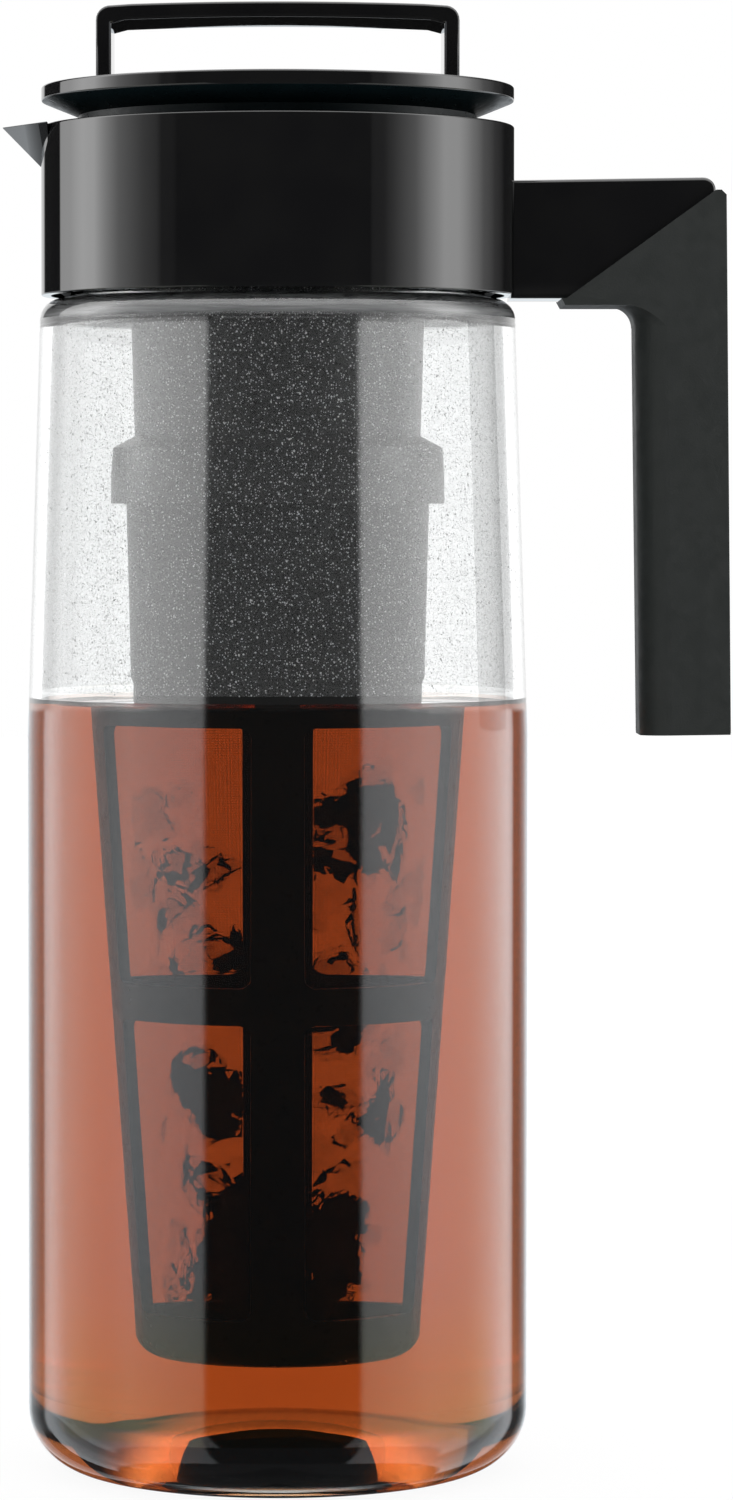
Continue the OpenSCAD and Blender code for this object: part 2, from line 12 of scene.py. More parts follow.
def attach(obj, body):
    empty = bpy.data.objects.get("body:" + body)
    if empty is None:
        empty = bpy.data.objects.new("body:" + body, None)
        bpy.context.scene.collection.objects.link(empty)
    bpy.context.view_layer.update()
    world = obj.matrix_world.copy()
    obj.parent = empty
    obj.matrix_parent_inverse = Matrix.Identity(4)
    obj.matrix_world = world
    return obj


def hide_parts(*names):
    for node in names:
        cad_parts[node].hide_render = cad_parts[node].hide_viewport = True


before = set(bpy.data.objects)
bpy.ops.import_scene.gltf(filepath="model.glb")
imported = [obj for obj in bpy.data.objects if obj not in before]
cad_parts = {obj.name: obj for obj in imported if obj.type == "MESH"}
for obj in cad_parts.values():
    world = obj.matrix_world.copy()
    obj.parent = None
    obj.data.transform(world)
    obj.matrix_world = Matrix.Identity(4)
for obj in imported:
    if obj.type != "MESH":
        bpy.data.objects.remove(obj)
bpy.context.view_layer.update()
scene = bpy.context.scene
MM = 0.001

# Pitcher: one moulding of clear hard plastic, with a straight lower half, a slight taper above it,
# a rounded shoulder, a short neck that snaps into the collar, and a floor pushed up into a dome.
PITCHER_FOOT_R, PITCHER_FOOT_IN, PITCHER_HOLLOW = 38.4, 34.0, 9.4
PITCHER_R, PITCHER_IN, PITCHER_STRAIGHT = 51.49, 49.0, 152.0
PITCHER_FLOOR, PITCHER_CROWN = 4.0, 13.6
SHOULDER_R, SHOULDER_IN = 48.72, 46.24
SHOULDER_TOP, SHOULDER_IN_TOP = 241.2, 238.7
NECK_R, NECK_IN, NECK_TOP = 42.55, 40.05, 262.0
FOOT_ROUND, FOOT_IN_ROUND, SHOULDER_ROUND, SHOULDER_IN_ROUND, NECK_ROUND = 13.05, 10.57, 4.1, 3.5, 0.6
PITCHER_SIDES = 256


def turned(outline, sides=192):
    """Turns an outline of (radius, height) in millimetres round the pitcher's axis."""
    bm = bmesh.new()
    verts = [bm.verts.new((r * MM, 0, z * MM)) for r, z in outline]
    pairs = list(zip(verts, verts[1:]))
    if outline[0][0] > 0:
        pairs.append((verts[-1], verts[0]))
    edges = [bm.edges.new(pair) for pair in pairs]
    bmesh.ops.spin(bm, geom=verts + edges, cent=(0, 0, 0), axis=(0, 0, 1),
                   angle=2 * math.pi, steps=sides, use_merge=True)
    bmesh.ops.remove_doubles(bm, verts=bm.verts, dist=1e-6)
    return bm


def round_ring(bm, radius, height, size, steps=6):
    """Rounds the ring-shaped edge at a radius and height, all in millimetres."""
    ring = {v for v in bm.verts if abs(v.co.z - height * MM) < 2e-6
            and abs(v.co.xy.length - radius * MM) < 2e-6}
    edges = [e for e in bm.edges if e.verts[0] in ring and e.verts[1] in ring]
    bmesh.ops.bevel(bm, geom=edges, offset=size * MM, offset_type="OFFSET", segments=steps,
                    profile=0.5, affect="EDGES", material=-1)


def dome(radius, foot, rise, steps=16):
    """Points of a low dome in section, from its top on the axis out to its foot."""
    ball = (radius ** 2 + rise ** 2) / (2 * rise)
    reach = [radius * i / steps for i in range(steps + 1)]
    return [(r, foot + rise - ball + math.sqrt(ball ** 2 - r ** 2)) for r in reach]


def finished(bm, name, material, body, nodes=(), sharp=35):
    """Makes a piece of a bmesh, with its material, its body and what it stands for."""
    bmesh.ops.recalc_face_normals(bm, faces=bm.faces)
    mesh = bpy.data.meshes.new(name)
    bm.to_mesh(mesh)
    bm.free()
    mesh.shade_smooth()
    mesh.set_sharp_from_angle(angle=math.radians(sharp))
    mesh.materials.append(material)
    piece = bpy.data.objects.new(name, mesh)
    scene.collection.objects.link(piece)
    piece.modifiers.new("even_shading", "WEIGHTED_NORMAL").keep_sharp = True
    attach(piece, body)
    if nodes:
        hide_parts(*nodes)
    return piece


def shader_material(name, **sockets):
    """A material whose Principled shader has the named sockets set to plain values."""
    material = bpy.data.materials.new(name)
    material.use_nodes = True
    shader = material.node_tree.nodes["Principled BSDF"]
    for socket, value in sockets.items():
        shader.inputs[socket.replace("_", " ")].default_value = value
    return material, material.node_tree, shader


def node(tree, kind, **values):
    """A new shader node of a kind, with its settings."""
    made = tree.nodes.new("ShaderNode" + kind)
    for name, value in values.items():
        setattr(made, name, value)
    return made


def wire(tree, value, socket):
    """Sets a socket to a plain number, or links another node's output to it."""
    if isinstance(value, (int, float)):
        socket.default_value = value
    else:
        tree.links.new(value, socket)


def maths(tree, operation, *values):
    """The result of a Math node, fed with plain numbers or other nodes' outputs."""
    made = node(tree, "Math", operation=operation)
    for socket, value in zip(made.inputs, values):
        wire(tree, value, socket)
    return made.outputs[0]


def stepped(tree, value, start, end):
    """0 below start, 1 above end, and a soft step between them."""
    span = node(tree, "MapRange", interpolation_type="SMOOTHSTEP")
    wire(tree, value, span.inputs[0])
    span.inputs[1].default_value, span.inputs[2].default_value = start, end
    return span.outputs[0]


def blended(tree, share, low, high):
    """From low to high, as share goes from 0 to 1."""
    return maths(tree, "ADD", maths(tree, "MULTIPLY", low, maths(tree, "SUBTRACT", 1.0, share)),
                 maths(tree, "MULTIPLY", high, share))


def coloured(tree, share, low, high):
    """From the colour low to the colour high, as share goes from 0 to 1."""
    mix = node(tree, "Mix", data_type="RGBA")
    wire(tree, share, mix.inputs["Factor"])
    for colour, socket in ((low, mix.inputs["A"]), (high, mix.inputs["B"])):
        if isinstance(colour, tuple):
            socket.default_value = (*colour, 1)
        else:
            tree.links.new(colour, socket)
    return mix.outputs["Result"]


def toned(tree, shader, share, low, high):
    """Base colour between two tones, by a value between 0 and 1."""
    tree.links.new(coloured(tree, share, low, high), shader.inputs["Base Color"])


def bumped(tree, shader, height, strength, distance):
    """Bumps a material by a height between 0 and 1, which stands for a distance in millimetres."""
    bump = node(tree, "Bump")
    bump.inputs["Strength"].default_value = strength
    bump.inputs["Distance"].default_value = distance * MM
    wire(tree, height, bump.inputs["Height"])
    tree.links.new(bump.outputs["Normal"], shader.inputs["Normal"])


def tinted_inside(tree, colour, density):
    """Lets a clear material swallow light on its way through."""
    volume = node(tree, "VolumeAbsorption")
    volume.inputs["Color"].default_value = (*colour, 1)
    volume.inputs["Density"].default_value = density
    tree.links.new(volume.outputs["Volume"], tree.nodes["Material Output"].inputs["Volume"])


# What grain() below uses: a value between 0 and 1 that varies over a piece in soft patches.
grain_group = bpy.data.node_groups.new("grain", "ShaderNodeTree")
grain_group.interface.new_socket("Scale", in_out="INPUT", socket_type="NodeSocketFloat")
grain_group.interface.new_socket("Value", in_out="OUTPUT", socket_type="NodeSocketFloat")
grain_in = grain_group.nodes.new("NodeGroupInput")
grain_out = grain_group.nodes.new("NodeGroupOutput")
grain_noise = node(grain_group, "TexNoise")
grain_noise.inputs["Detail"].default_value = 3
grain_group.links.new(node(grain_group, "TexCoord").outputs["Object"], grain_noise.inputs["Vector"])
grain_group.links.new(grain_in.outputs["Scale"], grain_noise.inputs["Scale"])
grain_group.links.new(stepped(grain_group, grain_noise.outputs[0], 0.3, 0.7),
                      grain_out.inputs["Value"])


def grain(tree, size):
    """Grain for tones, roughness and bumps, with patches about so many millimetres across."""
    made = node(tree, "Group")
    made.node_tree = grain_group
    made.inputs["Scale"].default_value = 1 / (size * MM)
    return made.outputs["Value"]


clear_plastic, tree, shader = shader_material(
    "clear_plastic", Roughness=0.0, IOR=1.55, Transmission_Weight=1.0)
# Its grey-blue tint inside is partly the plastic's own colour and partly painted shade: it darkens
# the wall near its outline, where light runs long in it, in place of the dark edges that dark flags
# beside it give.
tinted_inside(tree, (0.35, 0.42, 0.45), 12)
toned(tree, shader, grain(tree, 25), (0.975, 0.985, 0.985), (0.99, 0.995, 0.995))
bumped(tree, shader, grain(tree, 18), 0.05, 0.05)

pitcher = turned(dome(PITCHER_FOOT_IN, 0, PITCHER_HOLLOW) + [
    (PITCHER_FOOT_R, 0), (PITCHER_R, 0), (PITCHER_R, PITCHER_STRAIGHT),
    (SHOULDER_R, SHOULDER_TOP), (NECK_R, SHOULDER_TOP), (NECK_R, NECK_TOP), (NECK_IN, NECK_TOP),
    (NECK_IN, SHOULDER_IN_TOP), (SHOULDER_IN, SHOULDER_IN_TOP), (PITCHER_IN, PITCHER_STRAIGHT),
    (PITCHER_IN, PITCHER_FLOOR)]
    + dome(PITCHER_FOOT_R, PITCHER_FLOOR, PITCHER_CROWN - PITCHER_FLOOR)[::-1], PITCHER_SIDES)
round_ring(pitcher, PITCHER_R, 0, FOOT_ROUND, 14)
round_ring(pitcher, PITCHER_IN, PITCHER_FLOOR, FOOT_IN_ROUND, 12)
round_ring(pitcher, SHOULDER_R, SHOULDER_TOP, SHOULDER_ROUND, 8)
round_ring(pitcher, SHOULDER_IN, SHOULDER_IN_TOP, SHOULDER_IN_ROUND, 8)
round_ring(pitcher, NECK_R, SHOULDER_TOP, NECK_ROUND, 4)
round_ring(pitcher, NECK_IN, SHOULDER_IN_TOP, NECK_ROUND, 4)
pitcher = finished(pitcher, "pitcher_body", clear_plastic, "jug", ["pitcher"], 40)
pitcher.modifiers.clear()
# The wall mirrors and refracts as if it stood upright all the way, so its taper leaves no band.
wall_normals = [Vector(corner.vector) for corner in pitcher.data.corner_normals]
for normal in wall_normals:
    if abs(normal.z) < 0.1:
        normal.z = 0
pitcher.data.normals_split_custom_set([normal.normalized() for normal in wall_normals])

# Tea: what the photo shows in the pitcher, up to just above the windows of the infuser. It wets
# the wall, so its edge curls up there, and it reaches a little into the plastic's inner face.
TEA_LEVEL, TEA_OVERLAP, WATER_IOR = 158.3, 0.08, 1.333
TEA_CURL = [(0.19, 1.1), (0.6, 0.385), (1.6, 0.06), (3.0, 0.0)]
TEA_SHADE_TOP, TEA_SHADE_FOOT, TEA_FOOT_ROUND = 160.0, 20.0, 10.64


def position(tree):
    """Where on the piece a point lies, as the outputs X, Y and Z."""
    split = node(tree, "SeparateXYZ")
    tree.links.new(node(tree, "TexCoord").outputs["Object"], split.inputs[0])
    return split.outputs


tea_material, tree, shader = shader_material(
    "tea", Roughness=0.0, IOR=WATER_IOR, Transmission_Weight=1.0, Specular_Tint=(0, 0, 0, 1))
tinted_inside(tree, (0.848, 0.525, 0.178), 60)
# Painted shade: the tea's surface tint darkens and warms it towards its top, and fades out near its
# foot.
toned(tree, shader, stepped(tree, position(tree)["Z"], TEA_SHADE_TOP * MM, TEA_SHADE_FOOT * MM),
      (0.95, 0.88, 0.84), (1, 1, 1))
tea_r = PITCHER_IN + TEA_OVERLAP
tea_foot = PITCHER_FLOOR - TEA_OVERLAP
tea = turned(dome(PITCHER_FOOT_R, tea_foot, PITCHER_CROWN - PITCHER_FLOOR)
             + [(tea_r, tea_foot), (tea_r, PITCHER_STRAIGHT)]
             + [(tea_r - inward, TEA_LEVEL + up) for inward, up in TEA_CURL]
             + [(0, TEA_LEVEL)], PITCHER_SIDES)
round_ring(tea, tea_r, tea_foot, TEA_FOOT_ROUND, 12)
finished(tea, "iced_tea", tea_material, "jug", sharp=30)

# Mist: condensation on the inside of the wall above the tea, up over the shoulder into the neck.
# It is a thin film, nearly clear face on, with fine bright specks in it.
MIST_LOW, MIST_TOP, MIST_OUT, MIST_IN = 161.0, 255.0, 0.03, 0.08


def wall_r(height):
    """Radius of the inside of the pitcher's tapered wall."""
    share = (height - PITCHER_STRAIGHT) / (SHOULDER_IN_TOP - PITCHER_STRAIGHT)
    return PITCHER_IN + (SHOULDER_IN - PITCHER_IN) * share


def specks(tree, size, reach, share):
    """Small round specks: their cells' size in millimetres, their reach and how many show."""
    cells = node(tree, "TexVoronoi")
    cells.inputs["Scale"].default_value = 1 / (size * MM)
    tree.links.new(node(tree, "TexCoord").outputs["Object"], cells.inputs["Vector"])
    luck = node(tree, "SeparateColor")
    tree.links.new(cells.outputs["Color"], luck.inputs[0])
    return maths(tree, "MULTIPLY", stepped(tree, cells.outputs["Distance"], reach, reach * 0.6),
                 stepped(tree, luck.outputs[0], 1 - share, 1.02 - share))


mist, tree, shader = shader_material("mist", Roughness=0.5)
dots = maths(tree, "MAXIMUM", specks(tree, 0.5, 0.3, 0.6), specks(tree, 1.0, 0.22, 0.5))
toned(tree, shader, dots, (0.42, 0.425, 0.43), (0.95, 0.96, 0.97))
edge_on = node(tree, "LayerWeight")
mist_cover = blended(tree, stepped(tree, edge_on.outputs["Facing"], 0.35, 1.0),
                     blended(tree, grain(tree, 0.45), 0.05, 0.125), 0.26)
wire(tree, blended(tree, dots, mist_cover, 0.7), shader.inputs["Alpha"])
outer_face, inner_face = [
    [(wall_r(MIST_LOW) - sunk, MIST_LOW), (SHOULDER_IN - sunk, SHOULDER_IN_TOP - sunk),
     (NECK_IN - sunk, SHOULDER_IN_TOP - sunk), (NECK_IN - sunk, MIST_TOP)]
    for sunk in (MIST_OUT, MIST_IN)]
film = turned(outer_face + inner_face[::-1])
for sunk in (MIST_OUT, MIST_IN):
    round_ring(film, SHOULDER_IN - sunk, SHOULDER_IN_TOP - sunk, SHOULDER_IN_ROUND, 8)
    round_ring(film, NECK_IN - sunk, SHOULDER_IN_TOP - sunk, NECK_ROUND, 4)
finished(film, "mist_film", mist, "jug")

# Shoulder light and shade: the greyness of the damp, rounded shoulder under the collar, painted on a
# thin
# layer just inside the plastic: a painted highlight at its lower edge and painted shade above, under
# the collar, with fine level streaks.
SHOULDER_LAYER_LOW, SHOULDER_LAYER_NECK_GAP, SHOULDER_LAYER_OUT, SHOULDER_LAYER_IN = 235.0, 0.8, 0.25, 0.3
SHOULDER_LAYER_FADE_LOW, SHOULDER_LAYER_FADE_HIGH, SHOULDER_SHADE_LOW, SHOULDER_SHADE_HIGH = 236.2, 237.8, 237.5, 239.2
SHOULDER_LAYER_OUT_ROUND, SHOULDER_LAYER_IN_ROUND, STREAKS_PER_METRE = 3.9, 3.85, (90, 90, 1900)

shoulder_light_paint, tree, shader = shader_material("shoulder_painted_light", Roughness=0.5)
height = position(tree)["Z"]
# Painted light: light grey low on the layer for the shoulder's highlight, dark grey above it for the
# shade under the collar.
painted_shade_share = blended(tree, stepped(tree, height, SHOULDER_SHADE_LOW * MM, SHOULDER_SHADE_HIGH * MM),
                     0.0, blended(tree, grain(tree, 5), 0.85, 1.0))
toned(tree, shader, painted_shade_share, (0.6, 0.605, 0.61), (0.13, 0.133, 0.136))
stretched = node(tree, "VectorMath", operation="MULTIPLY")
tree.links.new(node(tree, "TexCoord").outputs["Object"], stretched.inputs[0])
stretched.inputs[1].default_value = STREAKS_PER_METRE
streaks = node(tree, "TexNoise")
streaks.inputs["Scale"].default_value = 1
tree.links.new(stretched.outputs[0], streaks.inputs["Vector"])
shoulder_layer_cover = maths(tree, "MULTIPLY", stepped(tree, height, SHOULDER_LAYER_FADE_LOW * MM, SHOULDER_LAYER_FADE_HIGH * MM),
                   blended(tree, stepped(tree, streaks.outputs[0], 0.35, 0.65), 0.5, 0.78))
wire(tree, shoulder_layer_cover, shader.inputs["Alpha"])
outer_face, inner_face = [
    [(SHOULDER_R - sunk, SHOULDER_LAYER_LOW), (SHOULDER_R - sunk, SHOULDER_TOP - sunk),
     (NECK_R + SHOULDER_LAYER_NECK_GAP, SHOULDER_TOP - sunk)] for sunk in (SHOULDER_LAYER_OUT, SHOULDER_LAYER_IN)]
shoulder_layer = turned(outer_face + inner_face[::-1])
for sunk, rounding in ((SHOULDER_LAYER_OUT, SHOULDER_LAYER_OUT_ROUND), (SHOULDER_LAYER_IN, SHOULDER_LAYER_IN_ROUND)):
    round_ring(shoulder_layer, SHOULDER_R - sunk, SHOULDER_TOP - sunk, rounding, 8)
finished(shoulder_layer, "shoulder_painted_light", shoulder_light_paint, "jug")

# Dew: small drops of water that have grown out of the mist, a little taller than they are wide,
# scattered over the inside of the wall. They are made in batches, which keeps the script quick.
DEW_HIGH, DEW_SMALLEST, DEW_SPREAD = 236.0, 0.08, 0.17
DEW_FLAT, DEW_TALL, DEW_BATCHES, DEW_BATCH = 0.6, 1.25, 70, 100

water, tree, shader = shader_material(
    "dew", Roughness=0.1, IOR=WATER_IOR, Transmission_Weight=0.25)
toned(tree, shader, grain(tree, 2), (0.9, 0.91, 0.92), (0.98, 0.98, 0.98))
dew_luck = random.Random(7)
drops = bmesh.new()
for _ in range(DEW_BATCHES):
    batch = bmesh.new()
    for _ in range(DEW_BATCH):
        z = dew_luck.uniform(MIST_LOW, DEW_HIGH)
        around = dew_luck.uniform(-math.pi, math.pi)
        size = DEW_SMALLEST + DEW_SPREAD * dew_luck.random() ** 3
        spot = (Matrix.Rotation(around, 4, "Z") @ Matrix.Translation((wall_r(z) * MM, 0, z * MM))
                @ Matrix.Diagonal((DEW_FLAT, 1, dew_luck.uniform(1, DEW_TALL), 1)))
        bmesh.ops.create_icosphere(batch, subdivisions=1, radius=size * MM, matrix=spot)
    batch_mesh = bpy.data.meshes.new("batch")
    batch.to_mesh(batch_mesh)
    batch.free()
    drops.from_mesh(batch_mesh)
    bpy.data.meshes.remove(batch_mesh)
finished(drops, "dew_drops", water, "jug", sharp=180).modifiers.clear()

# Neck seal: a flat ring of soft dark silicone that lies between the pitcher's rim and the collar's
# ledge, and is squeezed there when the collar is snapped on.
seal_silicone, tree, shader = shader_material("seal_silicone", IOR=1.42)
toned(tree, shader, grain(tree, 3), (0.018, 0.019, 0.019), (0.028, 0.029, 0.029))
wire(tree, blended(tree, grain(tree, 1), 0.48, 0.62), shader.inputs["Roughness"])
bumped(tree, shader, grain(tree, 0.4), 0.3, 0.03)


def dressed(node_name, material):
    """Gives a CAD node its finish."""
    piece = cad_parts[node_name]
    piece.data.materials.clear()
    piece.data.materials.append(material)
    return piece


dressed("neck_seal", seal_silicone)

# Collar: the gloss black pouring ring that snaps over the pitcher's neck, one moulding with the
# beak and the handle's arm. Its skin hangs clear of the shoulder; a sleeve and a ledge inside grip
# the neck, and a channel through its wall leads to the beak.
COLLAR_R, COLLAR_SKIN_IN, COLLAR_WEB = 48.6, 46.6, 274.1
COLLAR_LOW, COLLAR_TOP = 241.9, 276.5
SLEEVE_IN, SLEEVE_OUT, SLEEVE_LOW = 42.67, 44.47, 243.5
BORE_IN, BORE_OUT = 41.6, 43.4
LEDGE_IN, LEDGE_LOW, LEDGE_TOP = 40.17, 263.6, 266.0
CHANNEL_HALF, CHANNEL_KEEL, CHANNEL_LOW = 12.5, 3.5, 269.07
CHANNEL_START, CHANNEL_END, CUT_PAST = -55.0, -39.0, 0.5
COLLAR_TOP_ROUND, COLLAR_LOW_ROUND, BORE_ROUND, COLLAR_SHARP = 0.45, 0.25, 0.4, 28

gloss_black, tree, shader = shader_material("gloss_black_plastic", IOR=1.5)
toned(tree, shader, grain(tree, 12), (0.0055, 0.0055, 0.006), (0.007, 0.007, 0.0072))
wire(tree, blended(tree, grain(tree, 5), 0.01, 0.02), shader.inputs["Roughness"])
bumped(tree, shader, grain(tree, 9), 0.008, 0.02)


def hull(points):
    """The flat-faced body that spans a few points, given in millimetres."""
    bm = bmesh.new()
    verts = [bm.verts.new(Vector(p) * MM) for p in points]
    bmesh.ops.convex_hull(bm, input=verts)
    bmesh.ops.dissolve_limit(bm, angle_limit=0.001, verts=bm.verts, edges=bm.edges)
    return bm


def cut_out(piece, tool):
    """Cuts a bmesh out of a piece, and leaves one closed mesh."""
    bmesh.ops.recalc_face_normals(tool, faces=tool.faces)
    mesh = bpy.data.meshes.new("tool")
    tool.to_mesh(mesh)
    tool.free()
    cutter = bpy.data.objects.new("tool", mesh)
    scene.collection.objects.link(cutter)
    piece.modifiers.clear()
    step = piece.modifiers.new("tool", "BOOLEAN")
    step.operation, step.object, step.solver = "DIFFERENCE", cutter, "EXACT"
    scene.view_layers[0].update()
    graph = bpy.context.evaluated_depsgraph_get()
    made = bpy.data.meshes.new_from_object(piece.evaluated_get(graph))
    piece.modifiers.clear()
    piece.data = made
    bpy.data.objects.remove(cutter)


ring = turned([
    (COLLAR_R, COLLAR_LOW), (COLLAR_R, COLLAR_TOP), (BORE_IN, COLLAR_TOP), (BORE_IN, LEDGE_TOP),
    (LEDGE_IN, LEDGE_TOP), (LEDGE_IN, LEDGE_LOW), (SLEEVE_IN, LEDGE_LOW), (SLEEVE_IN, SLEEVE_LOW),
    (SLEEVE_OUT, SLEEVE_LOW), (SLEEVE_OUT, LEDGE_TOP), (BORE_OUT, LEDGE_TOP),
    (BORE_OUT, COLLAR_WEB), (COLLAR_SKIN_IN, COLLAR_WEB), (COLLAR_SKIN_IN, COLLAR_LOW)],
    PITCHER_SIDES)
round_ring(ring, COLLAR_R, COLLAR_TOP, COLLAR_TOP_ROUND, 4)
round_ring(ring, COLLAR_R, COLLAR_LOW, COLLAR_LOW_ROUND, 3)
round_ring(ring, BORE_IN, COLLAR_TOP, BORE_ROUND, 3)
collar = finished(ring, "collar_ring", gloss_black, "jug", ["collar"])
channel = [(-CHANNEL_HALF, COLLAR_TOP + CUT_PAST), (CHANNEL_HALF, COLLAR_TOP + CUT_PAST),
           (CHANNEL_KEEL, CHANNEL_LOW), (-CHANNEL_KEEL, CHANNEL_LOW)]
cut_out(collar, hull([(x, y, z) for x in (CHANNEL_START, CHANNEL_END) for y, z in channel]))
collar.data.shade_smooth()
collar.data.set_sharp_from_angle(angle=math.radians(COLLAR_SHARP))
collar.modifiers.new("even_shading", "WEIGHTED_NORMAL").keep_sharp = True

# Beak: the V-shaped lip of the collar, a wedge with the pouring channel cut out of it. It is a
# piece of its own here, so that its flat sides keep their own shading.
BEAK_TIP, BEAK_ROOT, BEAK_HALF, BEAK_KEEL, BEAK_LOW = -56.65, -46.58, 18.14, 1.2, 266.24
BEAK_DROP, BEAK_SOFT, CHANNEL_TIP, CHANNEL_ROOT = 0.01, 0.25, -53.8, -46.48

beak = hull([(BEAK_ROOT, side * BEAK_HALF, COLLAR_TOP - BEAK_DROP) for side in (-1, 1)]
            + [(BEAK_ROOT, side * BEAK_KEEL, BEAK_LOW) for side in (1, -1)]
            + [(BEAK_TIP, 0, COLLAR_TOP - BEAK_DROP)])
beak = finished(beak, "beak", gloss_black, "jug")
cut_out(beak, hull([(CHANNEL_ROOT, y, z) for y, z in channel]
                   + [(CHANNEL_TIP, 0, COLLAR_TOP + CUT_PAST)]))
softened = beak.modifiers.new("softened", "BEVEL")
softened.width, softened.segments, softened.limit_method = BEAK_SOFT * MM, 3, "ANGLE"
beak.data.shade_smooth()
beak.modifiers.new("even_shading", "WEIGHTED_NORMAL")

# Handle arm: a gloss black bar moulded on the collar, with a rounded outer corner and softened
# edges. Its core goes down inside the grip, where nothing shows it, so that part is left out here.
ARM_ROOT, ARM_END, ARM_HALF = 47.6, 89.3, 10.0
ARM_LOW, ARM_TOP, ARM_RISE, ARM_CORNER, ARM_SOFT = 241.1, 265.1, 0.6, 2.6, 0.8


def slab(outline, half, soft, steps=4):
    """Pushes an outline of (x, z) out to both sides of the XZ plane and rounds its long edges."""
    bm = bmesh.new()
    face = bm.faces.new([bm.verts.new((x * MM, -half * MM, z * MM)) for x, z in outline])
    grown = bmesh.ops.extrude_face_region(bm, geom=[face])
    far = [v for v in grown["geom"] if isinstance(v, bmesh.types.BMVert)]
    bmesh.ops.translate(bm, verts=far, vec=(0, 2 * half * MM, 0))
    bmesh.ops.recalc_face_normals(bm, faces=bm.faces)
    ends = [f for f in bm.faces if abs(f.normal.y) > 0.9]
    edges = {e for f in ends for e in f.edges}
    bmesh.ops.bevel(bm, geom=list(edges), offset=soft * MM, offset_type="OFFSET",
                    segments=steps, profile=0.5, affect="EDGES", material=-1)
    return bm


def bend(cx, cz, r, start, end, steps):
    """Points of an arc in the XZ plane, for an outline."""
    turns = [math.radians(start + (end - start) * i / steps) for i in range(steps + 1)]
    return [(cx + r * math.cos(a), cz + r * math.sin(a)) for a in turns]


arm = slab([(ARM_ROOT, ARM_TOP), (ARM_ROOT, ARM_LOW), (ARM_END, ARM_LOW)]
           + bend(ARM_END - ARM_CORNER, ARM_TOP + ARM_RISE - ARM_CORNER, ARM_CORNER, 0, 90, 8),
           ARM_HALF, ARM_SOFT)
arm = finished(arm, "handle_arm", gloss_black, "jug", sharp=60)
# Mirrors don't see the arm and the grip, so the pitcher's wall keeps clear of their dark images.
arm.visible_glossy = False

# Grip: a soft sleeve moulded round the handle's core and up over the arm's outer corner, with a
# diagonal upper edge.
soft_black, tree, shader = shader_material("soft_grip_rubber", IOR=1.45)
toned(tree, shader, grain(tree, 6), (0.0145, 0.0175, 0.0165), (0.018, 0.021, 0.02))
wire(tree, blended(tree, grain(tree, 2), 0.5, 0.6), shader.inputs["Roughness"])
bumped(tree, shader, grain(tree, 0.35), 0.25, 0.03)
dressed("handle_grip", soft_black).visible_glossy = False

# Lid: a gloss black disc with a low rim, dished a little inside it, and a satin cone underneath
# that drops to the stopper it is pressed on.
LID_R, LID_RIM_IN, LID_NECK_R, LID_RING_IN = 48.55, 44.55, 40.9, 38.5
LID_LOW, LID_RIM_LOW, LID_PLATE, LID_FACE, LID_TOP = 278.6, 281.7, 282.2, 284.2, 284.6
LID_TOP_ROUND, LID_LOW_ROUND, LID_RIM_ROUND = 0.5, 0.3, 0.15


def satin(name, dark, light, refraction):
    """Black satin plastic, which mirrors less where it stands in tea."""
    material, tree, shader = shader_material(name, IOR=refraction)
    toned(tree, shader, grain(tree, 8), dark, light)
    wire(tree, blended(tree, grain(tree, 1.5), 0.27, 0.36), shader.inputs["Roughness"])
    bumped(tree, shader, grain(tree, 0.3), 0.12, 0.02)
    return material


satin_under = satin("satin_teal_plastic", (0.002, 0.0052, 0.0062), (0.003, 0.0068, 0.008), 1.18)
cap = turned([(0, LID_PLATE), (0, LID_FACE), (LID_RIM_IN, LID_FACE), (LID_RIM_IN, LID_TOP),
              (LID_R, LID_TOP), (LID_R, LID_RIM_LOW), (LID_NECK_R, LID_LOW),
              (LID_RING_IN, LID_LOW), (LID_RING_IN, LID_PLATE)], PITCHER_SIDES)
round_ring(cap, LID_R, LID_TOP, LID_TOP_ROUND, 4)
round_ring(cap, LID_R, LID_RIM_LOW, LID_LOW_ROUND, 3)
round_ring(cap, LID_RIM_IN, LID_TOP, LID_RIM_ROUND, 2)
cap = finished(cap, "lid_disc", gloss_black, "lid", ["lid_cap"])
cap.data.materials.append(satin_under)
for face in cap.data.polygons:
    face.material_index = int(face.normal.z < -0.8 and face.center.z < LID_RIM_LOW * MM)

# Finger loop: a flat gloss black strap that stands across the lid, bowed up a little at its
# middle, snapped into two slots in the lid.
LOOP_HALF, LOOP_TOP, LOOP_T, LOOP_BOW, LOOP_ROUND, LOOP_DEPTH = 36.95, 301.2, 3.1, 0.8, 3.0, 12.5
LOOP_DIP, LOOP_SOFT = 0.6, 0.6

bow = [(LOOP_HALF - LOOP_ROUND) * (1 - i / 8) for i in range(17)]


def bowed(x):
    """How far the strap's top lies below its middle, at a distance from the lid's axis."""
    return -LOOP_BOW * (x / LOOP_HALF) ** 2


